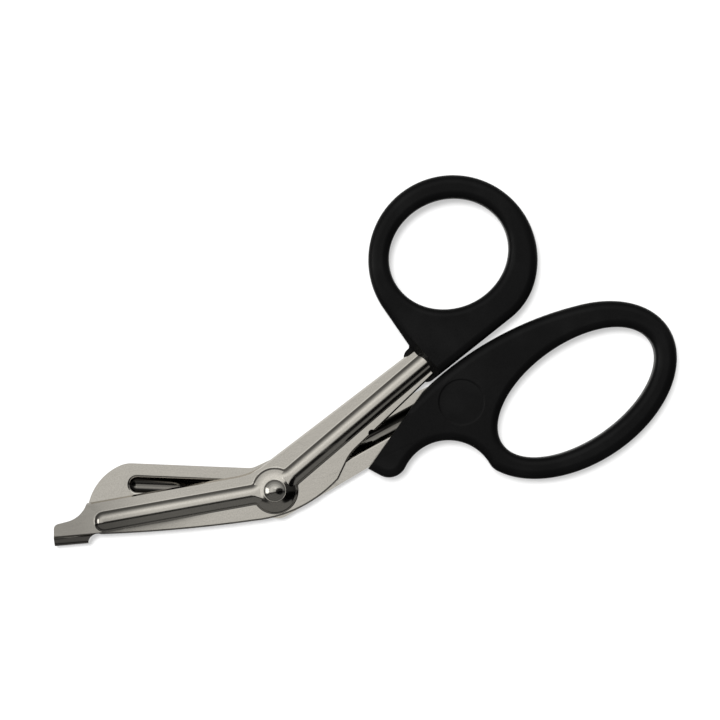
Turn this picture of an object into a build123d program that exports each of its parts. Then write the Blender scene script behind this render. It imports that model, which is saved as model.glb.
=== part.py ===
from build123d import *
import os
from math import cos, radians, sin, tan

# Bandage shears, lying flat and closed, in millimetres and degrees.
# The origin is on the pivot axis, on the surface that the shears lie on.
# The finger blade points along -X, and +Z is the side with the thumb blade.

# Stack of the two halves
handle_thickness = 10.0
blade_gap = 0.1
sheet = 1.5
closed_angle = 12.55

# Pressed rib and pivot boss, the same on both blades
rib_crown_radius = 3.3
rib_base_radius = 0.6
rib_wall_angle = 50.0
rib_wall_straight = 0.1
rib_crown_flat = 0.1
recess_inset = 0.4
recess_floor_tighter = 0.8
recess_mouth_wider = 0.2
boss_radius = 6.7
boss_height = 1.76
boss_wall_height = 0.58
boss_cap_radius = 13.5
boss_seat_radius = 3.3
boss_corner_radius = 0.8
boss_blend_radius = 0.5
rib_core_radius = 6.2
rib_core_blend = 2.5
shank_rib_margin = 8.0

# Ground cutting edges and rounded stamped edges
stamped_edge_radius = 0.5
edge_offset = 6.0
bevel_height = 1.1
bevel_width = 0.45

# Thumb blade, which has the blunt foot
thumb_shank_angle = 30.25
thumb_edge_end = 54.5
thumb_rib_margin = 4.1
thumb_crook = 5.6
thumb_crook_radius = 20.0
thumb_shank_grip = 11.0
thumb_shank_upper = 4.26
thumb_shank_lower = 3.53
thumb_neck_station = 23.5
thumb_neck_depth = 6.2
thumb_neck_radius = 12.0
thumb_shoulder_station = 16.2
thumb_shoulder_rim = 2.8
thumb_shoulder_radius = 1.8
thumb_heel_station = 7.3
thumb_heel_rim = 0.95
thumb_heel_radius = 8.0
thumb_belly_bow = 2.5
thumb_spine_bow = 0.62
edge_notch_station = 32.3
edge_notch_radius = 1.1

# Folded foot of the thumb blade
foot_reach = 11.4
foot_sole_depth = 4.7
foot_slope = 5.1
foot_run = 12.7
foot_width = 6.3
foot_bend_radius = 2.4
foot_relief_radius = 2.9
foot_relief_bite = 0.2
foot_toe_height = 6.2
foot_toe_lean = 0.35
foot_toe_radius = 1.5
foot_neck_reach = 6.5
foot_neck_height = 1.75
foot_neck_bow = 1.0

# Finger blade
finger_shank_angle = 30.9
finger_edge_end = 54.0
finger_back_offset = 6.15
finger_tip_run = 10.6
finger_tip_bow = 2.2
finger_tip_radius = 8.0
finger_rib_margin = 3.2
finger_crook = 6.9
finger_crook_radius = 5.0
finger_shank_grip = 17.75
finger_shank_upper = 5.0
finger_shank_lower = 6.0
finger_corner_station = 2.5
finger_corner_depth = 8.25
finger_corner_radius = 5.0
finger_heel_station = 12.0
finger_heel_radius = 10.0

# Thumb handle, placed along and across the thumb blade's shank
thumb_front_station = 57.0
ring_radius = 24.6
ring_setback = 1.26
ring_overhang = 7.17
thumb_hole_along = 0.24
thumb_hole_across = 2.1
thumb_rim_thin = 6.85
thumb_rim_thick = 8.84
thumb_hole_turn = 15.5
thumb_front_upper = 6.15
thumb_front_slope = 30.0
thumb_contact_depth = 5.4
thumb_contact_slope = 1.9
thumb_contact_easing = 4.6
lip_reach = 4.0
lip_corner_radius = 2.8
lip_root_radius = 1.0

# Finger handle, placed along and across the finger blade's shank
finger_front_station = 39.25
finger_front_half = 12.18
finger_front_low = 7.34
finger_front_high = 4.65
loop_setback = 17.37
loop_depth = 15.63
loop_long = 33.26
loop_short = 22.02
loop_turn = 35.3
loop_leave_angle = 62.0
finger_hole_along = 0.71
finger_hole_across = 1.16
finger_rim_thin = 7.1
finger_rim_thick = 7.95
finger_hole_turn = 37.6
notch_setback = 5.39
notch_drop = 7.98
notch_radius = 14.0
notch_blend = 5.0
prong_turn = 156.2
prong_radius = 5.3
chin_slope = 26.0
disc_setback = 20.65
disc_drop = 3.33
disc_radius = 6.7
disc_depth = 0.3

# Moulded edges of both handles
handle_edge_radius = 2.5
hole_edge_radius = 2.2

# Rivet
rivet_radius = 2.0
rivet_clearance = 0.06
head_radius = 3.15
head_rim = 0.15
head_dome = 1.5
head_clearance = 0.05
tail_radius = 3.3
tail_flat_radius = 1.8
tail_rim = 0.35

# Levels and planes that follow from the sizes
mid_level = handle_thickness / 2
contact_plane = Plane.XY.offset(mid_level)
finger_face = contact_plane.offset(blade_gap / 2)
thumb_face = finger_face.rotated((0, 0, closed_angle))
thumb_floor = Plane.XY.rotated((0, 0, closed_angle))

# The rib's section: a round crown and a round base, joined by a short straight wall
rib_slant = (rib_crown_radius + rib_base_radius) * tan(radians(rib_wall_angle / 2)) + rib_wall_straight
rib_height = rib_slant * sin(radians(rib_wall_angle))
rib_top_half = rib_crown_flat + rib_crown_radius * tan(radians(rib_wall_angle / 2))
rib_half_width = rib_top_half + rib_slant * cos(radians(rib_wall_angle))
rib_draft = 90 - rib_wall_angle
recess_floor_radius = rib_crown_radius - recess_floor_tighter
recess_mouth_radius = rib_base_radius + recess_mouth_wider

# The boss: a short wall as steep as the rib's, and a shallow round cap, flat under the rivet's head
boss_cap_rim = boss_radius - boss_wall_height / tan(radians(rib_wall_angle))
boss_level = blade_gap / 2 + sheet + boss_height

# Lengths along the blades and shanks
thumb_rib_reach = thumb_edge_end - thumb_rib_margin
thumb_shank_length = thumb_front_station + thumb_shank_grip
thumb_shank_rib_reach = thumb_shank_length - shank_rib_margin
finger_rib_reach = finger_edge_end - finger_tip_run - finger_rib_margin
finger_shank_length = finger_front_station + finger_shank_grip
finger_shank_rib_reach = finger_shank_length - shank_rib_margin


def on_shank(angle, along, across):
    """A point on a shank, by its distance along the shank's axis and across it."""
    return Vector(along, across).rotate(Axis.Z, angle)


def rib_outline(plane, shank_angle, blade_reach, shank_reach, core, inset):
    """The outline on a plane of the rib, drawn in by the inset, and of a round core at the pivot."""
    with BuildSketch(plane) as outline:
        with Locations((-blade_reach / 2, 0)):
            SlotCenterToCenter(blade_reach, 2 * (rib_half_width - inset))
        with Locations(on_shank(shank_angle, shank_reach / 2, 0)):
            SlotCenterToCenter(shank_reach, 2 * (rib_half_width - inset), rotation=shank_angle)
        Circle(core)
        corners = [v for v in outline.vertices() if abs(Vector(v).length - core) < 0.01]
        fillet(corners, rib_core_blend)
    return outline


def press_rib(blade, face, shank_angle, blade_reach, shank_reach):
    """Presses the rib and the boss out of a flat blade whose inner face lies on the plane."""
    inner = face.origin.Z
    outer = inner + sheet
    rib = rib_outline(face.offset(sheet), shank_angle, blade_reach, shank_reach, rib_core_radius, 0)
    extrude(rib.sketch, amount=rib_height, taper=rib_draft)
    base = blade.edges(Select.LAST).filter_by_position(Axis.Z, outer, outer)
    fillet(base, rib_base_radius)
    fillet(blade.faces().sort_by(Axis.Z)[-1].edges(), rib_crown_radius)
    cap_rim = Vector(boss_cap_rim, outer + boss_wall_height)
    cap_seat = Vector(boss_seat_radius, outer + boss_height)
    with BuildSketch(Plane.XZ) as section:
        with BuildLine():
            Polyline((0, cap_seat.Y), (0, inner), (boss_radius, inner), (boss_radius, outer), cap_rim)
            RadiusArc(cap_rim, cap_seat, -boss_cap_radius)
            Line(cap_seat, (0, cap_seat.Y))
        make_face()
        for corner in (cap_rim, cap_seat):
            fillet(section.vertices().sort_by_distance(corner)[0], boss_corner_radius)
    revolve(section.sketch, axis=Axis.Z)
    # One blend runs round the boss, over its joints to the ribs and along its foot on the sheet.
    joints = blade.edges(Select.NEW)
    rings = blade.edges().filter_by(GeomType.CIRCLE).filter_by_position(Axis.Z, outer, outer)
    boss_foot = [ring for ring in rings if abs(ring.radius - boss_radius) < 0.01]
    fillet(joints + boss_foot, boss_blend_radius)
    hollow = boss_radius - recess_inset
    recess = rib_outline(face, shank_angle, blade_reach, shank_reach, hollow, recess_inset)
    extrude(recess.sketch, amount=rib_height, taper=rib_draft, mode=Mode.SUBTRACT)
    cut = blade.edges(Select.LAST)
    fillet(cut.filter_by_position(Axis.Z, inner + rib_height, inner + rib_height), recess_floor_radius)
    mouth = blade.faces().sort_by(Axis.Z)[0].inner_wires()[0]
    fillet(mouth.edges(), recess_mouth_radius)


def grind_edge(blade, face, middle):
    """Grinds the cutting edge whose middle on the outer face is the given point."""
    outer = face.offset(sheet)
    edge = blade.edges().sort_by_distance(outer.from_local_coords(middle))[0]
    flat = blade.faces().filter_by_position(Axis.Z, outer.origin.Z, outer.origin.Z)[0]
    chamfer(edge, length=bevel_width, length2=bevel_height, reference=flat)


def round_edges(blade, face, points):
    """Rounds the outer face's stamped edges that pass nearest to the points."""
    outer = face.offset(sheet)
    rim = blade.edges().filter_by_position(Axis.Z, outer.origin.Z, outer.origin.Z)
    fillet([rim.sort_by_distance(outer.from_local_coords(point))[0] for point in points], stamped_edge_radius)


# Thumb blade: the flat blank, with the edge that the foot is folded from
sole_tip = Vector(-thumb_edge_end - foot_reach, -foot_sole_depth)


def on_foot(along, up):
    """A point of the foot, by its distance along the sole and up from it."""
    return sole_tip + Vector(along, up).rotate(Axis.Z, -foot_slope)


def thumb_shank(along, across):
    """A point on the thumb blade's shank."""
    return on_shank(thumb_shank_angle, along, across)


with BuildPart() as thumb_blade:
    edge_toe = Vector(-thumb_edge_end, edge_offset)
    crook = Vector(-thumb_crook, edge_offset)
    neck = thumb_shank(thumb_neck_station, -thumb_neck_depth)
    shoulder = thumb_shank(thumb_shoulder_station, -boss_radius - thumb_shoulder_rim)
    heel = Vector(-thumb_heel_station, -boss_radius - thumb_heel_rim)
    bend_start = on_foot(foot_run, foot_bend_radius)
    bend_end = on_foot(0, foot_bend_radius)
    toe = on_foot(foot_toe_lean, foot_toe_height)
    foot_neck = Vector(-thumb_edge_end - foot_neck_reach, foot_neck_height)
    shank_end_low = thumb_shank(thumb_shank_length, -thumb_shank_lower)
    with BuildSketch(thumb_face) as blank:
        with BuildLine():
            Polyline(
                edge_toe,
                crook,
                thumb_shank(thumb_shank_length, thumb_shank_upper),
                shank_end_low,
                neck,
                shoulder,
            )
            belly = SagittaArc(shoulder, heel, thumb_belly_bow)
            spine = SagittaArc(heel, bend_start, thumb_spine_bow)
            Polyline(bend_start, bend_end, toe, foot_neck)
            SagittaArc(foot_neck, edge_toe, -foot_neck_bow)
        make_face()
        rounded = (
            (crook, thumb_crook_radius),
            (neck, thumb_neck_radius),
            (shoulder, thumb_shoulder_radius),
            (heel, thumb_heel_radius),
            (toe, foot_toe_radius),
        )
        for corner, radius in rounded:
            fillet(blank.vertices().sort_by_distance(corner)[0], radius)
    extrude(amount=sheet)
    grind_edge(thumb_blade, thumb_face, (edge_toe + crook) / 2)
    stamped = ((neck + shank_end_low) / 2, (neck + shoulder) / 2, belly @ 0.5, spine @ 0.5)
    round_edges(thumb_blade, thumb_face, stamped)
    press_rib(thumb_blade, thumb_face, thumb_shank_angle, thumb_rib_reach, thumb_shank_rib_reach)
    with BuildSketch(thumb_face):
        notch_share = (edge_notch_station - thumb_neck_station) / (thumb_shank_length - thumb_neck_station)
        with Locations(neck + (shank_end_low - neck) * notch_share):
            Circle(edge_notch_radius)
    extrude(amount=sheet, mode=Mode.SUBTRACT)
    # The foot is bent away from the rib, square to the blade.
    along_foot = thumb_face.from_local_coords(on_foot(1, 0)) - thumb_face.from_local_coords(sole_tip)
    up_foot = thumb_face.from_local_coords(on_foot(0, 1)) - thumb_face.from_local_coords(sole_tip)
    with BuildSketch(Plane(thumb_face.from_local_coords(sole_tip), x_dir=up_foot, z_dir=along_foot)) as fold:
        with BuildLine():
            Polyline(
                (foot_bend_radius, sheet),
                (0, sheet),
                (0, sheet - foot_width),
                (sheet, sheet - foot_width),
                (sheet, 0),
                (foot_bend_radius, 0),
                close=True,
            )
        make_face()
        fillet(fold.vertices().sort_by_distance((0, sheet))[0], foot_bend_radius)
        fillet(fold.vertices().sort_by_distance((sheet, 0))[0], foot_bend_radius - sheet)
    extrude(amount=foot_run)
    with BuildSketch(thumb_face.offset(sheet)):
        with Locations(on_foot(foot_run, foot_bend_radius - foot_relief_radius + foot_relief_bite)):
            Circle(foot_relief_radius)
    extrude(amount=-2 * foot_width, mode=Mode.SUBTRACT)
    with Locations(thumb_face):
        Cylinder(rivet_radius + rivet_clearance, 2 * boss_level, mode=Mode.SUBTRACT)
thumb_blade.part.label = "thumb_blade"


# Finger blade: drawn from above and turned over about the plane where the blades meet
def finger_shank(along, across):
    """A point on the finger blade's shank."""
    return on_shank(finger_shank_angle, along, across)


with BuildPart() as finger_blade:
    edge_tip = Vector(-finger_edge_end, -edge_offset)
    back_tip = Vector(-finger_edge_end + finger_tip_run, finger_back_offset)
    back_crook = Vector(-finger_crook, finger_back_offset)
    corner = finger_shank(-finger_corner_station, -finger_corner_depth)
    edge_heel = Vector(-finger_heel_station, -edge_offset)
    with BuildSketch(finger_face) as blank:
        with BuildLine():
            SagittaArc(edge_tip, back_tip, finger_tip_bow)
            Polyline(
                back_tip,
                back_crook,
                finger_shank(finger_shank_length, finger_shank_upper),
                finger_shank(finger_shank_length, -finger_shank_lower),
                corner,
                edge_heel,
                edge_tip,
            )
        make_face()
        rounded = (
            (back_tip, finger_tip_radius),
            (back_crook, finger_crook_radius),
            (corner, finger_corner_radius),
            (edge_heel, finger_heel_radius),
        )
        for point, radius in rounded:
            fillet(blank.vertices().sort_by_distance(point)[0], radius)
    extrude(amount=sheet)
    back_middle = (back_tip + back_crook) / 2
    shank_middle = finger_shank(finger_shank_length / 2, -finger_shank_lower)
    grind_edge(finger_blade, finger_face, (edge_tip + edge_heel) / 2)
    round_edges(finger_blade, finger_face, (back_middle, shank_middle))
    press_rib(finger_blade, finger_face, finger_shank_angle, finger_rib_reach, finger_shank_rib_reach)
    with Locations(finger_face):
        Cylinder(rivet_radius, 2 * boss_level, mode=Mode.SUBTRACT)
    mirror(about=contact_plane, mode=Mode.REPLACE)
finger_blade.part.label = "finger_blade"


# Rivet: one turned piece with a domed head and a flattened tail
with BuildPart() as rivet:
    head_level = mid_level + boss_level + head_clearance
    tail_level = mid_level - boss_level
    with BuildSketch(Plane.XZ):
        with BuildLine():
            Line((0, 0), (tail_flat_radius, 0))
            RadiusArc((tail_flat_radius, 0), (tail_radius, tail_level - tail_rim), -tail_level)
            Polyline(
                (tail_radius, tail_level - tail_rim),
                (tail_radius, tail_level),
                (rivet_radius, tail_level),
                (rivet_radius, head_level),
                (head_radius, head_level),
                (head_radius, head_level + head_rim),
            )
            dome_top = (0, head_level + head_rim + head_dome)
            TangentArc(dome_top, (head_radius, head_level + head_rim), tangent=(1, 0))
            Line(dome_top, (0, 0))
        make_face()
    revolve(axis=Axis.Z)
rivet.part.label = "rivet"


# Thumb handle: a round ring and an arm, moulded round the thumb blade's shank
with BuildPart() as thumb_handle:
    lip_station = thumb_front_station - lip_reach
    contact_fall = tan(radians(thumb_contact_slope))
    ring_far = thumb_front_station + 3 * ring_radius
    ring_station = thumb_front_station + ring_setback + ring_radius
    ring_across = ring_radius - ring_overhang
    contact_drop = thumb_contact_depth + (ring_far - thumb_front_station) * contact_fall
    with BuildSketch(thumb_floor) as outline:
        with BuildLine():
            CenterArc(thumb_shank(ring_station, ring_across), ring_radius, 270, 360)
            Line(
                thumb_shank(thumb_front_station, thumb_front_upper),
                thumb_shank(thumb_front_station, -2 * thumb_contact_depth),
            )
        make_hull()
        with BuildLine():
            Polyline(
                thumb_shank(lip_station, thumb_front_upper),
                thumb_shank(thumb_front_station + lip_reach, thumb_front_upper),
                thumb_shank(thumb_front_station + lip_reach, -2 * thumb_contact_depth),
                thumb_shank(lip_station, -2 * thumb_contact_depth),
                close=True,
            )
        make_face()
        with BuildLine():
            Polyline(
                thumb_shank(0, -thumb_contact_depth + thumb_front_station * contact_fall),
                thumb_shank(ring_far, -contact_drop),
                thumb_shank(ring_far, -ring_radius),
                thumb_shank(0, -ring_radius),
                close=True,
            )
        make_face(mode=Mode.SUBTRACT)
        contact_end = thumb_shank(ring_station + ring_overhang, -thumb_contact_depth)
        fillet(outline.vertices().sort_by_distance(contact_end)[0], ring_radius - thumb_contact_easing)
        lip_root = outline.vertices().sort_by_distance(thumb_shank(thumb_front_station, thumb_front_upper))[0]
        fillet(lip_root, lip_root_radius)
        for side in (thumb_front_upper, -thumb_contact_depth):
            lip_corner = outline.vertices().sort_by_distance(thumb_shank(lip_station, side))[0]
            fillet(lip_corner, lip_corner_radius)
        with Locations(thumb_shank(ring_station + thumb_hole_along, ring_across + thumb_hole_across)):
            Ellipse(
                ring_radius - thumb_rim_thin,
                ring_radius - thumb_rim_thick,
                rotation=thumb_hole_turn,
                mode=Mode.SUBTRACT,
            )
    extrude(amount=handle_thickness)
    for face in (thumb_handle.faces().sort_by(Axis.Z)[0], thumb_handle.faces().sort_by(Axis.Z)[-1]):
        fillet(face.inner_wires()[0].edges(), hole_edge_radius)
    for face in (thumb_handle.faces().sort_by(Axis.Z)[0], thumb_handle.faces().sort_by(Axis.Z)[-1]):
        fillet(face.outer_wire().edges(), handle_edge_radius)
    # Above the shank the arm stops short of the lip, with a front that leans back.
    shank_axis = Plane.XY.rotated((0, 0, closed_angle + thumb_shank_angle))
    lean_level = mid_level + blade_gap / 2 + sheet
    lean_run = (handle_thickness - lean_level) * tan(radians(thumb_front_slope))
    with BuildSketch(Plane((0, 0, 0), x_dir=shank_axis.x_dir, z_dir=-shank_axis.y_dir)):
        with BuildLine():
            Polyline(
                (0, mid_level + blade_gap / 2),
                (thumb_front_station, mid_level + blade_gap / 2),
                (thumb_front_station, lean_level),
                (thumb_front_station + lean_run, handle_thickness),
                (0, handle_thickness),
                close=True,
            )
        make_face()
    extrude(amount=ring_radius, both=True, mode=Mode.SUBTRACT)
    add(thumb_blade.part, mode=Mode.SUBTRACT)
thumb_handle.part.label = "thumb_handle"


# Finger handle: an oval loop, a grip notch and a prong, moulded round the finger blade's shank
with BuildPart() as finger_handle:
    front_low = finger_shank(finger_front_station - finger_front_half, -finger_front_low)
    front_high = finger_shank(finger_front_station + finger_front_half, finger_front_high)
    loop_station = finger_front_station + loop_setback + loop_long
    loop_centre = finger_shank(loop_station, -loop_depth)
    notch_centre = finger_shank(finger_front_station + notch_setback, -loop_depth - notch_drop)
    prong_centre = notch_centre + Vector(notch_radius + prong_radius, 0).rotate(Axis.Z, prong_turn)
    prong_start = notch_centre + Vector(notch_radius, 0).rotate(Axis.Z, prong_turn)
    spare = 2 * prong_radius
    chin_start = prong_centre + Vector(prong_radius, 0).rotate(Axis.Z, 270 - chin_slope)
    chin_end = chin_start - Vector(2 * spare, 0).rotate(Axis.Z, -chin_slope)
    with BuildSketch() as outline:
        with BuildLine():
            notch_rim = CenterArc(notch_centre, notch_radius, 0, 180, mode=Mode.PRIVATE)
            far_rim = EllipticalCenterArc(
                loop_centre,
                loop_long,
                loop_short,
                loop_leave_angle,
                arc_size=-90 - loop_leave_angle,
                rotation=loop_turn,
            )
            near_rim = EllipticalCenterArc(
                loop_centre, loop_long, loop_short, -90, arc_size=notch_rim, rotation=loop_turn
            )
            knuckle = TangentArc(far_rim @ 0, front_high, tangent=-(far_rim % 0))
            knuckle_end = (knuckle @ 1) + (knuckle % 1) * spare
            Line(knuckle @ 1, knuckle_end)
            RadiusArc(near_rim @ 1, prong_start, -notch_radius)
            RadiusArc(prong_start, chin_start, prong_radius)
            Polyline(chin_start, chin_end, knuckle_end)
        make_face()
        with Locations(finger_shank(loop_station + finger_hole_along, -loop_depth - finger_hole_across)):
            Ellipse(
                loop_long - finger_rim_thin,
                loop_short - finger_rim_thick,
                rotation=finger_hole_turn,
                mode=Mode.SUBTRACT,
            )
    extrude(amount=handle_thickness)
    fillet(finger_handle.edges().filter_by(Axis.Z).sort_by_distance(near_rim @ 1)[0], notch_blend)
    for face in (finger_handle.faces().sort_by(Axis.Z)[0], finger_handle.faces().sort_by(Axis.Z)[-1]):
        fillet(face.inner_wires()[0].edges(), hole_edge_radius)
    for face in (finger_handle.faces().sort_by(Axis.Z)[0], finger_handle.faces().sort_by(Axis.Z)[-1]):
        fillet(face.outer_wire().edges().sort_by_distance(chin_end)[2:], handle_edge_radius)
    front = front_high - front_low
    ahead = front.normalized().rotate(Axis.Z, 90) * 2 * spare
    with BuildSketch():
        with BuildLine():
            Polyline(
                front_low - front,
                front_high + front,
                front_high + front + ahead,
                front_low - front + ahead,
                close=True,
            )
        make_face()
    extrude(amount=handle_thickness, mode=Mode.SUBTRACT)
    with BuildSketch(Plane.XY.offset(handle_thickness)):
        with Locations(finger_shank(finger_front_station + disc_setback, -disc_drop)):
            Circle(disc_radius)
    extrude(amount=-disc_depth, mode=Mode.SUBTRACT)
    add(finger_blade.part, mode=Mode.SUBTRACT)
finger_handle.part.label = "finger_handle"


os.makedirs("parts", exist_ok=True)
export_step(thumb_blade.part, "parts/thumb_blade.step")
export_step(finger_blade.part, "parts/finger_blade.step")
export_step(rivet.part, "parts/rivet.step")
export_step(thumb_handle.part, "parts/thumb_handle.step")
export_step(finger_handle.part, "parts/finger_handle.step")
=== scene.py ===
"""Dresses the bandage shears: satin steel blades, a polished rivet and black moulded handles."""

import logging
import math
from dataclasses import dataclass, field
from enum import Enum
from typing import NamedTuple

import bpy
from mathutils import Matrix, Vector

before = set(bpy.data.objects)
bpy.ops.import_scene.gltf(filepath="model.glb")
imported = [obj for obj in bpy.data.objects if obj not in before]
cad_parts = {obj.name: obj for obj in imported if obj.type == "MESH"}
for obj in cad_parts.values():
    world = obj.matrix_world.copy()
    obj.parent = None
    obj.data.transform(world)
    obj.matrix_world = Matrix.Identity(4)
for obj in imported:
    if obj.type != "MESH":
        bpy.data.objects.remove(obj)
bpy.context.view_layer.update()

log = logging.getLogger("bandage_shears")

MM = 0.001
HALF_TURN = 180.0
QUARTER_TURN = 90.0

Colour = tuple[float, float, float]
Point = tuple[float, float, float]
Range = tuple[float, float]
Stops = tuple[tuple[float, float], ...]
Material = bpy.types.Material
Node = bpy.types.Node
NodeTree = bpy.types.NodeTree
Socket = bpy.types.NodeSocket


class BladeLook(NamedTuple):
    """What tells one blade's look from the other's.

    The turn is where the blade points, in degrees. The lean is how fast its lower flat falls away, and
    swell_mm is how much fuller its boss is below. The tip and the hollow's wall and floor keep a share of
    their brightness under painted shade, which darkens the tip and the inside of the hollow.
    """

    node: str
    turn: float
    lean: float
    swell_mm: float
    tip: float
    wall: float
    floor: float


class Blade(Enum):
    """The two pressed blades, by their looks."""

    # tip, wall and floor are the shares of brightness kept under painted shade.
    THUMB = BladeLook("thumb_blade", turn=12.55, lean=0.085, swell_mm=0.08, tip=0.6, wall=1.0, floor=1.0)
    FINGER = BladeLook("finger_blade", turn=0.0, lean=0.0, swell_mm=0.0, tip=1.0, wall=0.05, floor=0.32)


class HandleLook(NamedTuple):
    """A handle's node, and the middle of its round panel in millimetres, or none."""

    node: str
    panel_mm: Point | None


class Handle(Enum):
    """The two moulded handles, by their looks."""

    THUMB = HandleLook("thumb_handle", panel_mm=None)
    FINGER = HandleLook("finger_handle", panel_mm=(53.11, 27.90, 0.0))


class Patch(NamedTuple):
    """A round patch of the studio: its place and size as angles in degrees, and its brightness."""

    polar: float
    azimuth: float
    reach: float
    soft: float
    value: float


class Tree:
    """A node tree with short ways to add and join nodes."""

    def __init__(self, tree: NodeTree) -> None:
        """Keeps the tree of a material, a group or the world."""
        self.tree = tree

    def add(self, kind: str, inputs: dict | None = None, **settings: object) -> Node:
        """Adds a node, sets it and feeds it.

        Args:
            kind: the node's type name.
            inputs: values or output sockets by input name or number.
            settings: attributes of the node.

        Returns:
            The new node.
        """
        node = self.tree.nodes.new(kind)
        for name, value in settings.items():
            setattr(node, name, value)
        for name, value in (inputs or {}).items():
            self.feed(node.inputs[name], value)
        return node

    def feed(self, socket: Socket, value: object) -> None:
        """Links an output to the socket, or sets the socket's own value.

        Args:
            socket: the input to feed.
            value: an output socket, a number, a colour or a vector.
        """
        if isinstance(value, Socket):
            self.tree.links.new(value, socket)
        else:
            socket.default_value = value

    def math(self, operation: str, *values: object) -> Socket:
        """Adds a Math node on numbers or output sockets."""
        return self.add("ShaderNodeMath", dict(enumerate(values)), operation=operation).outputs[0]

    def vector_math(self, operation: str, output: str, *values: object) -> Socket:
        """Adds a Vector Math node on vectors or output sockets."""
        node = self.add("ShaderNodeVectorMath", dict(enumerate(values)), operation=operation)
        return node.outputs[output]

    def in_mm(self, length: Socket) -> Socket:
        """Turns a length in metres into millimetres."""
        return self.math("DIVIDE", length, MM)

    def axes(self, vector: Socket) -> tuple[Socket, Socket, Socket]:
        """Splits a vector into its three parts."""
        node = self.add("ShaderNodeSeparateXYZ", {0: vector})
        return node.outputs["X"], node.outputs["Y"], node.outputs["Z"]

    def joined(self, x: object, y: object, z: object) -> Socket:
        """Joins three parts to a vector."""
        return self.add("ShaderNodeCombineXYZ", {0: x, 1: y, 2: z}).outputs[0]

    def turned(self, vector: Socket, angle: object) -> Socket:
        """Turns a vector round the vertical, by an angle in radians."""
        inputs = {"Vector": vector, "Angle": angle}
        return self.add("ShaderNodeVectorRotate", inputs, rotation_type="Z_AXIS").outputs[0]

    def from_axis(self, place: Socket, middle_mm: Point = (0.0, 0.0, 0.0)) -> Socket:
        """Measures the distance from an upright axis.

        Args:
            place: the object coordinates.
            middle_mm: a point of the axis with z at 0, in millimetres.

        Returns:
            The distance in metres.
        """
        flat = self.vector_math("MULTIPLY", "Vector", place, (1.0, 1.0, 0.0))
        middle = tuple(value * MM for value in middle_mm)
        return self.vector_math("DISTANCE", "Value", flat, middle)

    def ease(self, value: Socket, low: float, high: float, start: float = 0.0, end: float = 1.0) -> Socket:
        """Maps a range of values smoothly onto another.

        Args:
            value: the output to map.
            low: the value that gives start.
            high: the value that gives end.
            start: the result at low and below.
            end: the result at high and above.

        Returns:
            The mapped output.
        """
        inputs = {"Value": value, "From Min": low, "From Max": high, "To Min": start, "To Max": end}
        return self.add("ShaderNodeMapRange", inputs, interpolation_type="SMOOTHSTEP").outputs["Result"]

    def noise(self, vector: Socket, scale: object, detail: float, rough: float = 0.5) -> Socket:
        """Adds a noise texture.

        Args:
            vector: the coordinates.
            scale: its scale per metre.
            detail: its octaves.
            rough: how strong the finer octaves are.

        Returns:
            The noise factor, around one half.
        """
        inputs = {"Vector": vector, "Scale": scale, "Detail": detail, "Roughness": rough}
        return self.add("ShaderNodeTexNoise", inputs).outputs[0]

    def blend(self, first: Socket, second: Socket, share: float) -> Socket:
        """Blends two outputs, with the given share of the first."""
        rest = self.math("MULTIPLY", second, 1.0 - share)
        return self.math("ADD", self.math("MULTIPLY", first, share), rest)

    def mix_colour(self, share: Socket, first: Colour, second: Colour) -> Socket:
        """Mixes two colours by a mask.

        Args:
            share: the mask, from the first colour to the second.
            first: the colour at 0.
            second: the colour at 1.

        Returns:
            The mixed colour.
        """
        ramp = self.add("ShaderNodeValToRGB", {"Fac": share})
        ramp.color_ramp.elements[0].color = (*first, 1.0)
        ramp.color_ramp.elements[1].color = (*second, 1.0)
        return ramp.outputs["Color"]

    def bumped(self, height: Socket, depth_mm: float, over: Socket | None = None) -> Socket:
        """Turns a height into a normal.

        Args:
            height: the height.
            depth_mm: what a height of 1 is, in millimetres.
            over: a normal that it is laid over, or none.

        Returns:
            The normal.
        """
        bump = self.add("ShaderNodeBump", {"Height": height, "Strength": 1.0, "Distance": depth_mm * MM})
        if over is not None:
            self.feed(bump.inputs["Normal"], over)
        return bump.outputs["Normal"]

    def group(self, group: NodeTree, place: Socket, values: dict[str, float]) -> Node:
        """Places a node group, with coordinates for its Vector input and its other inputs by name."""
        return self.add("ShaderNodeGroup", {"Vector": place, **values}, node_tree=group)


def new_material(name: str) -> tuple[Material, Tree, Node]:
    """Makes a material with a Principled shader.

    Args:
        name: the material's name.

    Returns:
        The material, its tree's helper and its shader node.
    """
    made = bpy.data.materials.new(name)
    made.use_nodes = True
    return made, Tree(made.node_tree), made.node_tree.nodes["Principled BSDF"]


def new_group(name: str, inputs: dict[str, float], outputs: list[str]) -> tuple[NodeTree, Tree, Node]:
    """Makes a shader node group with a Vector input.

    Args:
        name: the group's name.
        inputs: the default values of its other inputs, by name.
        outputs: the names of its float outputs.

    Returns:
        The group's tree, its helper and its input node.
    """
    group = bpy.data.node_groups.new(name, "ShaderNodeTree")
    group.interface.new_socket(name="Vector", in_out="INPUT", socket_type="NodeSocketVector")
    for label, value in inputs.items():
        socket = group.interface.new_socket(name=label, in_out="INPUT", socket_type="NodeSocketFloat")
        socket.default_value = value
    for label in outputs:
        group.interface.new_socket(name=label, in_out="OUTPUT", socket_type="NodeSocketFloat")
    tree = Tree(group)
    return group, tree, tree.add("NodeGroupInput")


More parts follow.
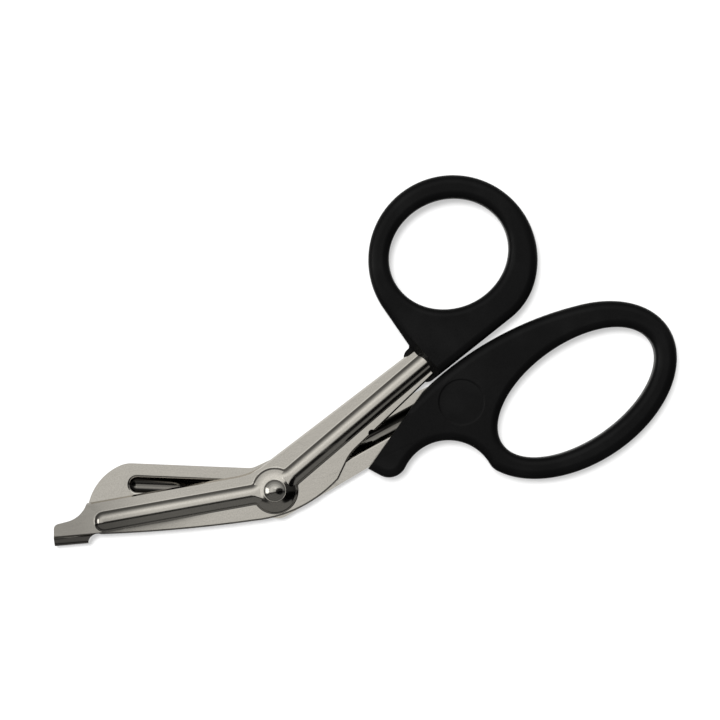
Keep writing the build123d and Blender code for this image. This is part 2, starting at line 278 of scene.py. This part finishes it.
@dataclass(frozen=True)
class SatinGrain:
    """The grain of satin steel: fine strokes one way, with a speckle over them. Scales are per metre."""

    stroke_length: float = 5.0
    stroke_scale: float = 5200.0
    coarse_scale: float = 1500.0
    speckle_scale: float = 2600.0
    stroke_share: float = 0.2
    coarse_share: float = 0.25

    def group(self) -> NodeTree:
        """Builds the grain.

        Returns:
            The node group, with outputs for a stroke height and a shade.
        """
        inputs = {"Turn": 0.0, "Length": self.stroke_length}
        group, tree, source = new_group("satin_grain", inputs, ["Height", "Shade"])
        turned = tree.turned(source.outputs["Vector"], source.outputs["Turn"])
        x, y, z = tree.axes(turned)
        drawn = tree.joined(tree.math("DIVIDE", x, source.outputs["Length"]), y, z)
        strokes = tree.noise(drawn, self.stroke_scale, detail=3.0, rough=0.6)
        coarse = tree.noise(drawn, self.coarse_scale, detail=2.0)
        speckle = tree.noise(turned, self.speckle_scale, detail=2.0, rough=0.6)
        height = tree.blend(strokes, speckle, self.stroke_share)
        shade = tree.blend(coarse, speckle, self.coarse_share)
        tree.add("NodeGroupOutput", {"Height": height, "Shade": shade})
        return group


@dataclass(frozen=True)
class HandlingMarks:
    """The marks of handling: wide smudges and a few hair scratches.

    A scratch is a pair of its turn in radians and its scale per metre.
    """

    smudge_scale: float = 90.0
    smudge_range: Range = (0.42, 0.68)
    scratches: tuple[Range, ...] = ((0.5, 420.0), (1.9, 330.0), (2.7, 510.0))
    scratch_length: float = 30.0
    scratch_range: Range = (0.735, 0.76)

    def group(self) -> NodeTree:
        """Builds the marks.

        Returns:
            The node group, with outputs for a smudge mask and a scratch mask.
        """
        inputs = {"Smudge size": self.smudge_scale}
        group, tree, source = new_group("handling_marks", inputs, ["Smudge", "Scratch"])
        place = source.outputs["Vector"]
        cloud = tree.noise(place, source.outputs["Smudge size"], detail=4.0)
        scratch: object = 0.0
        for turn, scale in self.scratches:
            x, y, z = tree.axes(tree.turned(place, turn))
            stretched = tree.joined(tree.math("DIVIDE", x, self.scratch_length), y, z)
            line = tree.ease(tree.noise(stretched, scale, detail=1.0), *self.scratch_range)
            scratch = tree.math("MAXIMUM", scratch, line)
        smudge = tree.ease(cloud, *self.smudge_range)
        tree.add("NodeGroupOutput", {"Smudge": smudge, "Scratch": scratch})
        return group


@dataclass(frozen=True)
class SatinSteel:
    """Stainless sheet with a satin grain, as on the blades."""

    light: Colour = (0.69, 0.655, 0.60)
    dark: Colour = (0.61, 0.58, 0.53)
    shade_range: Range = (0.3, 0.7)
    smooth: float = 0.08
    coarse: float = 0.13
    smudge_scale: float = 110.0
    smudge_rough: float = 0.04
    scratch_rough: float = 0.08
    scratch_cut: float = -0.4
    bump_mm: float = 0.0007
    lean_start_mm: float = 3.0
    lean_power: float = 0.7
    lean_end_mm: Range = (-34.0, -5.0)
    swell_ring_mm: tuple[float, float, float] = (3.3, 4.8, 6.3)
    swell_side_mm: Range = (-2.4, -1.2)
    # The flats darken towards the tip with painted shade, over this span along the blade in millimetres.
    tip_mm: Range = (-62.0, -30.0)
    # Where the painted shade of the hollow lies, by distance from the contact plane in millimetres.
    contact_mm: float = 5.0
    mouth_mm: Range = (0.2, 0.7)
    floor_mm: Range = (1.15, 1.4)
    outside_mm: Range = (1.53, 1.55)

    def material(self, blade: Blade, grain: NodeTree, marks: NodeTree) -> Material:
        """Makes the material of a blade.

        Args:
            blade: the blade.
            grain: the satin grain group.
            marks: the handling marks group.

        Returns:
            The material.
        """
        look = blade.value
        made, tree, shader = new_material(look.node + "_satin")
        place = tree.add("ShaderNodeTexCoord").outputs["Object"]
        satin = tree.group(grain, place, {"Turn": math.radians(-look.turn)})
        worn = tree.group(marks, place, {"Smudge size": self.smudge_scale})
        x, y, _ = tree.axes(tree.turned(place, math.radians(-look.turn)))
        along, across = tree.in_mm(x), tree.in_mm(y)
        shade = tree.ease(satin.outputs["Shade"], *self.shade_range)
        tone = tree.mix_colour(shade, self.dark, self.light)
        # Painted shade: the thumb blade's flats darken towards the tip.
        tip_shade = tree.ease(along, *self.tip_mm, look.tip, 1.0)
        # Painted shade: the base colour is darkened in the hollow and towards the tip.
        kept = tree.math("MULTIPLY", self.hollow_shade(tree, place, look), tip_shade)
        tree.feed(shader.inputs["Base Color"], tree.vector_math("MULTIPLY", "Vector", tone, kept))
        rough = tree.math("MULTIPLY_ADD", shade, self.smooth - self.coarse, self.coarse)
        rough = tree.math("MULTIPLY_ADD", worn.outputs["Smudge"], self.smudge_rough, rough)
        rough = tree.math("MULTIPLY_ADD", worn.outputs["Scratch"], self.scratch_rough, rough)
        tree.feed(shader.inputs["Roughness"], rough)
        shader.inputs["Metallic"].default_value = 1.0
        height = satin.outputs["Height"]
        raised = tree.math("MULTIPLY_ADD", worn.outputs["Scratch"], self.scratch_cut, height)
        fine = tree.bumped(raised, self.bump_mm)
        leaned = self.leaning(tree, along, across, look)
        formed = tree.math("ADD", leaned, self.swelling(tree, place, look))
        tree.feed(shader.inputs["Normal"], tree.bumped(formed, 1.0, fine))
        return made

    def hollow_shade(self, tree: Tree, place: Socket, look: BladeLook) -> Socket:
        """Paints shade into the hollow behind the rib, darkening its walls and floor by their distance
        from the contact plane.

        Args:
            tree: the material's tree.
            place: the object coordinates.
            look: the blade's look.

        Returns:
            The share of its brightness that the steel keeps under the painted shade.
        """
        height = tree.in_mm(tree.axes(place)[2])
        depth = tree.math("ABSOLUTE", tree.math("SUBTRACT", height, self.contact_mm))
        wall = tree.ease(depth, *self.mouth_mm, 1.0, look.wall)
        floor = tree.ease(depth, *self.floor_mm, 0.0, look.floor)
        outside = tree.ease(depth, *self.outside_mm)
        return tree.math("MAXIMUM", tree.math("MAXIMUM", wall, floor), outside)

    def leaning(self, tree: Tree, along: Socket, across: Socket, look: BladeLook) -> Socket:
        """Lets the flat below the rib fall away a little, as pressed sheet does.

        Args:
            tree: the material's tree.
            along: the length along the blade, in millimetres.
            across: the length across the blade, in millimetres.
            look: the blade's look.

        Returns:
            The height in millimetres.
        """
        below = tree.math("SUBTRACT", tree.math("MULTIPLY", across, -1.0), self.lean_start_mm)
        fall = tree.math("POWER", tree.math("MAXIMUM", below, 0.0), self.lean_power)
        return tree.math("MULTIPLY", fall, tree.ease(along, *self.lean_end_mm, -look.lean, 0.0))

    def swelling(self, tree: Tree, place: Socket, look: BladeLook) -> Socket:
        """Rounds the lower side of the boss, where pressing leaves it fuller.

        Args:
            tree: the material's tree.
            place: the object coordinates.
            look: the blade's look.

        Returns:
            The height in millimetres.
        """
        radius = tree.in_mm(tree.from_axis(place))
        inner, top, outer = self.swell_ring_mm
        rise = tree.ease(radius, inner, top)
        ring = tree.math("MINIMUM", rise, tree.ease(radius, top, outer, 1.0, 0.0))
        level = tree.in_mm(tree.axes(place)[1])
        return tree.math("MULTIPLY", ring, tree.ease(level, *self.swell_side_mm, look.swell_mm, 0.0))


@dataclass(frozen=True)
class PolishedSteel:
    """Bright turned steel, as on the rivet."""

    light: Colour = (0.60, 0.58, 0.54)
    dark: Colour = (0.48, 0.46, 0.42)
    turning_scale: float = 9000.0
    turning_range: Range = (0.35, 0.65)
    rough: float = 0.14
    smudge_scale: float = 700.0
    smudge_rough: float = 0.08
    bump_mm: float = 0.0006
    crown: float = 0.03
    rim_from_mm: float = 1.6
    rim_ease: float = 0.1

    def material(self, name: str, marks: NodeTree) -> Material:
        """Makes the material.

        Args:
            name: the material's name.
            marks: the handling marks group.

        Returns:
            The material.
        """
        made, tree, shader = new_material(name)
        place = tree.add("ShaderNodeTexCoord").outputs["Object"]
        worn = tree.group(marks, place, {"Smudge size": self.smudge_scale})
        radius = tree.from_axis(place)
        ring = tree.joined(radius, tree.axes(place)[2], 0.0)
        turned = tree.noise(ring, self.turning_scale, detail=2.0)
        tone = tree.mix_colour(tree.ease(turned, *self.turning_range), self.dark, self.light)
        tree.feed(shader.inputs["Base Color"], tone)
        rough = tree.math("MULTIPLY_ADD", worn.outputs["Smudge"], self.smudge_rough, self.rough)
        tree.feed(shader.inputs["Roughness"], rough)
        shader.inputs["Metallic"].default_value = 1.0
        fine = tree.bumped(turned, self.bump_mm)
        tree.feed(shader.inputs["Normal"], tree.bumped(self.dome(tree, tree.in_mm(radius)), 1.0, fine))
        return made

    def dome(self, tree: Tree, radius: Socket) -> Socket:
        """Crowns the head a little more and eases its rim, as a rivet set does.

        Args:
            tree: the material's tree.
            radius: the distance from the rivet's axis, in millimetres.

        Returns:
            The height in millimetres.
        """
        crowned = tree.math("MULTIPLY", tree.math("MULTIPLY", radius, radius), -self.crown / 2)
        rim = tree.math("MAXIMUM", tree.math("SUBTRACT", radius, self.rim_from_mm), 0.0)
        return tree.math("MULTIPLY_ADD", tree.math("MULTIPLY", rim, rim), self.rim_ease, crowned)


@dataclass(frozen=True)
class MouldedPlastic:
    """Black plastic with a fine moulded texture, as on the handles."""

    base: Colour = (0.0022, 0.0022, 0.0023)
    rubbed: Colour = (0.0036, 0.0036, 0.0037)
    smooth: float = 0.30
    coarse: float = 0.42
    specular: float = 0.14
    smudge_scale: float = 70.0
    scratch_rough: float = 0.1
    scratch_cut: float = -0.3
    texture_scale: float = 3600.0
    bump_mm: float = 0.035
    panel_rim_mm: Range = (6.3, 6.9)
    panel_depth_mm: float = 0.16

    def material(self, handle: Handle, marks: NodeTree) -> Material:
        """Makes the material of a handle.

        Args:
            handle: the handle.
            marks: the handling marks group.

        Returns:
            The material.
        """
        look = handle.value
        made, tree, shader = new_material(look.node + "_black")
        place = tree.add("ShaderNodeTexCoord").outputs["Object"]
        worn = tree.group(marks, place, {"Smudge size": self.smudge_scale})
        tone = tree.mix_colour(worn.outputs["Smudge"], self.base, self.rubbed)
        tree.feed(shader.inputs["Base Color"], tone)
        rough = tree.math("MULTIPLY_ADD", worn.outputs["Smudge"], self.smooth - self.coarse, self.coarse)
        rough = tree.math("MULTIPLY_ADD", worn.outputs["Scratch"], self.scratch_rough, rough)
        tree.feed(shader.inputs["Roughness"], rough)
        shader.inputs["Specular IOR Level"].default_value = self.specular
        eroded = tree.noise(place, self.texture_scale, detail=2.0, rough=0.55)
        raised = tree.math("MULTIPLY_ADD", worn.outputs["Scratch"], self.scratch_cut, eroded)
        normal = tree.bumped(raised, self.bump_mm)
        if look.panel_mm is not None:
            away = tree.in_mm(tree.from_axis(place, look.panel_mm))
            normal = tree.bumped(tree.ease(away, *self.panel_rim_mm), self.panel_depth_mm, normal)
        tree.feed(shader.inputs["Normal"], normal)
        return made


@dataclass
class Shears:
    """The shears' own nodes and their finishes."""

    blade_finish: SatinSteel = field(default_factory=SatinSteel)
    rivet_finish: PolishedSteel = field(default_factory=PolishedSteel)
    handle_finish: MouldedPlastic = field(default_factory=MouldedPlastic)

    def dress(self) -> None:
        """Gives every CAD node its finish."""
        grain = SatinGrain().group()
        marks = HandlingMarks().group()
        for blade in Blade:
            self.put_on(blade.value.node, self.blade_finish.material(blade, grain, marks))
        self.put_on("rivet", self.rivet_finish.material("rivet_polish", marks))
        for handle in Handle:
            self.put_on(handle.value.node, self.handle_finish.material(handle, marks))

    @staticmethod
    def put_on(node: str, finish: Material) -> None:
        """Puts a material on a node.

        Args:
            node: the CAD node's name.
            finish: its material.
        """
        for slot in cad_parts[node].material_slots:
            slot.material = finish
        log.info("%s dressed in %s", node, finish.name)


@dataclass
class Studio:
    """The pale table, the soft light round it and the camera above it.

    Angles are in degrees. Stops are pairs of an angle and a brightness.
    """

    pixels: int = 720
    pixel_mm: float = 0.291
    look_at_mm: Point = (23.18, 38.90, 5.0)
    roll: float = 2.35
    lens: float = 200.0
    sensor: float = 36.0
    table_side: float = 3.0
    table_drop_mm: float = 0.02
    table_white: float = 0.46
    table_rough: float = 0.8
    table_specular: float = 0.1
    table_glow: float = 0.5
    key_strength: float = 3.4
    key_spread: float = 14.0
    key_tilt: float = 12.0
    key_from: float = 128.0
    softbox_from: float = 100.0
    softbox_edge: Range = (-0.25, -0.07)
    softbox: Stops = (
        (0, 0.66), (12, 0.72), (24, 0.90), (38, 0.95), (54, 0.56), (66, 0.30),
        (78, 0.14), (90, 0.10), (104, 0.04), (116, 0.5), (130, 0.8),
    )
    far_wall: Stops = ((0, 0.66), (6, 0.45), (9, 0.02), (20, 0.015), (24, 0.11), (28, 0.14))
    horizon: Stops = ((84, 1.0), (90, 0.32), (94, 0.16), (104, 0.16), (120, 0.8), (140, 1.0))
    flag: Patch = Patch(38.0, -8.0, 28.0, 2.5, 0.03)
    glows: tuple[Patch, ...] = (
        Patch(63.0, 172.0, 9.0, 3.0, 2.2),
        Patch(63.0, 190.0, 9.0, 3.0, 2.2),
        Patch(23.0, 78.0, 6.0, 3.0, 0.6),
    )
    blue: float = 0.98

    def build(self) -> None:
        """Makes the table, the light and the camera."""
        self.table()
        self.key_light()
        self.surroundings()
        self.camera()
        bpy.context.scene.view_settings.view_transform = "Standard"

    def table(self) -> None:
        """Lays the pale table just under the shears."""
        bpy.ops.object.select_all(action="DESELECT")
        bpy.ops.mesh.primitive_plane_add(size=self.table_side, location=(0, 0, 0))
        top = bpy.context.object
        top.name = "table"
        top.location.z = -self.table_drop_mm * MM
        made, _, shader = new_material("white_table")
        shader.inputs["Base Color"].default_value = (self.table_white,) * 3 + (1.0,)
        shader.inputs["Roughness"].default_value = self.table_rough
        shader.inputs["Specular IOR Level"].default_value = self.table_specular
        shader.inputs["Emission Color"].default_value = (1.0, 1.0, 1.0, 1.0)
        shader.inputs["Emission Strength"].default_value = self.table_glow
        top.data.materials.append(made)
        top.visible_glossy = False

    def key_light(self) -> None:
        """Hangs the wide key light up and to the left, kept out of the reflections."""
        lamp = bpy.data.lights.new("key", "SUN")
        lamp.energy = self.key_strength
        lamp.angle = math.radians(self.key_spread)
        key = bpy.data.objects.new("key", lamp)
        bpy.context.scene.collection.objects.link(key)
        key.rotation_mode = "QUATERNION"
        key.rotation_quaternion = self.direction(self.key_tilt, self.key_from).to_track_quat("Z", "Y")
        key.visible_glossy = False

    def surroundings(self) -> None:
        """Paints what the steel mirrors: a softbox above, a dim far wall, a dark flag and lamps."""
        world = bpy.data.worlds.new("studio")
        bpy.context.scene.world = world
        world.use_nodes = True
        world.node_tree.nodes.clear()
        tree = Tree(world.node_tree)
        facing = tree.add("ShaderNodeTexCoord").outputs["Generated"]
        facing = tree.turned(facing, math.radians(-self.roll))
        polar = tree.math("MULTIPLY", tree.math("ARCCOSINE", tree.axes(facing)[2]), HALF_TURN / math.pi)
        side = self.nearness(tree, facing, QUARTER_TURN, self.softbox_from)
        share = tree.ease(side, *self.softbox_edge)
        beyond = tree.math("MULTIPLY", tree.math("ARCSINE", side), -HALF_TURN / math.pi)
        wall = self.ramp(tree, beyond, self.far_wall)
        dim = tree.math("MULTIPLY", wall, self.ramp(tree, polar, self.horizon))
        dim = tree.math("MULTIPLY", dim, tree.math("SUBTRACT", 1.0, share))
        value = tree.math("MULTIPLY_ADD", self.ramp(tree, polar, self.softbox), share, dim)
        value = tree.math("MULTIPLY", value, self.spot(tree, facing, self.flag, 1.0))
        for glow in self.glows:
            value = tree.math("ADD", value, self.spot(tree, facing, glow, 0.0))
        blue = tree.math("MULTIPLY", value, self.blue)
        tone = tree.add("ShaderNodeCombineColor", {0: value, 1: value, 2: blue}).outputs[0]
        mirrored = tree.add("ShaderNodeBackground", {"Color": tone}).outputs[0]
        plain = tree.add("ShaderNodeBackground", {"Color": (1.0, 1.0, 1.0, 1.0)}).outputs[0]
        seen = tree.add("ShaderNodeLightPath").outputs["Is Camera Ray"]
        both = tree.add("ShaderNodeMixShader", {0: seen, 1: mirrored, 2: plain}).outputs[0]
        tree.add("ShaderNodeOutputWorld", {"Surface": both})

    @staticmethod
    def direction(polar: float, azimuth: float) -> Vector:
        """Gives a direction.

        Args:
            polar: its angle from straight up.
            azimuth: its angle round the vertical.

        Returns:
            The direction, one long.
        """
        tip, turn = math.radians(polar), math.radians(azimuth)
        return Vector((math.sin(tip) * math.cos(turn), math.sin(tip) * math.sin(turn), math.cos(tip)))

    def nearness(self, tree: Tree, facing: Socket, polar: float, azimuth: float) -> Socket:
        """Measures how near a direction is to another.

        Args:
            tree: the world's tree.
            facing: the direction.
            polar: the other direction's angle from straight up.
            azimuth: its angle round the vertical.

        Returns:
            The cosine of the angle between them.
        """
        return tree.vector_math("DOT_PRODUCT", "Value", facing, self.direction(polar, azimuth))

    def spot(self, tree: Tree, facing: Socket, patch: Patch, around: float) -> Socket:
        """Paints a round patch with a soft edge.

        Args:
            tree: the world's tree.
            facing: the direction.
            patch: the patch.
            around: the brightness around it.

        Returns:
            The brightness.
        """
        near = self.nearness(tree, facing, patch.polar, patch.azimuth)
        outer = math.cos(math.radians(patch.reach + patch.soft))
        inner = math.cos(math.radians(patch.reach - patch.soft))
        return tree.ease(near, outer, inner, around, patch.value)

    @staticmethod
    def ramp(tree: Tree, angle: Socket, stops: Stops) -> Socket:
        """Reads a brightness off an angle.

        Args:
            tree: the world's tree.
            angle: the angle.
            stops: pairs of an angle and a brightness.

        Returns:
            The brightness.
        """
        ramp = tree.add("ShaderNodeValToRGB", {"Fac": tree.math("DIVIDE", angle, HALF_TURN)})
        elements = ramp.color_ramp.elements
        # New stops start halfway, and the loop below puts them in place.
        while len(elements) < len(stops):
            elements.new(0.5)
        for element, (place, value) in zip(elements, stops):
            element.position = place / HALF_TURN
            element.color = (value, value, value, 1.0)
        return ramp.outputs["Color"]

    def camera(self) -> None:
        """Hangs the camera straight above the shears, turned as the photograph is."""
        data = bpy.data.cameras.new("camera")
        data.lens = self.lens
        data.sensor_width = self.sensor
        shot = bpy.data.objects.new("camera", data)
        bpy.context.scene.collection.objects.link(shot)
        distance = self.pixels * self.pixel_mm * self.lens / self.sensor
        x, y, z = self.look_at_mm
        shot.location = Vector((x, y, z + distance)) * MM
        shot.rotation_euler = (0, 0, math.radians(self.roll))
        bpy.context.scene.camera = shot


def main() -> None:
    """Dresses the shears and builds the studio round them."""
    logging.basicConfig(level=logging.INFO, format="%(message)s")
    Shears().dress()
    Studio().build()
    log.info("sizes written")


if __name__ == "__main__":
    main()
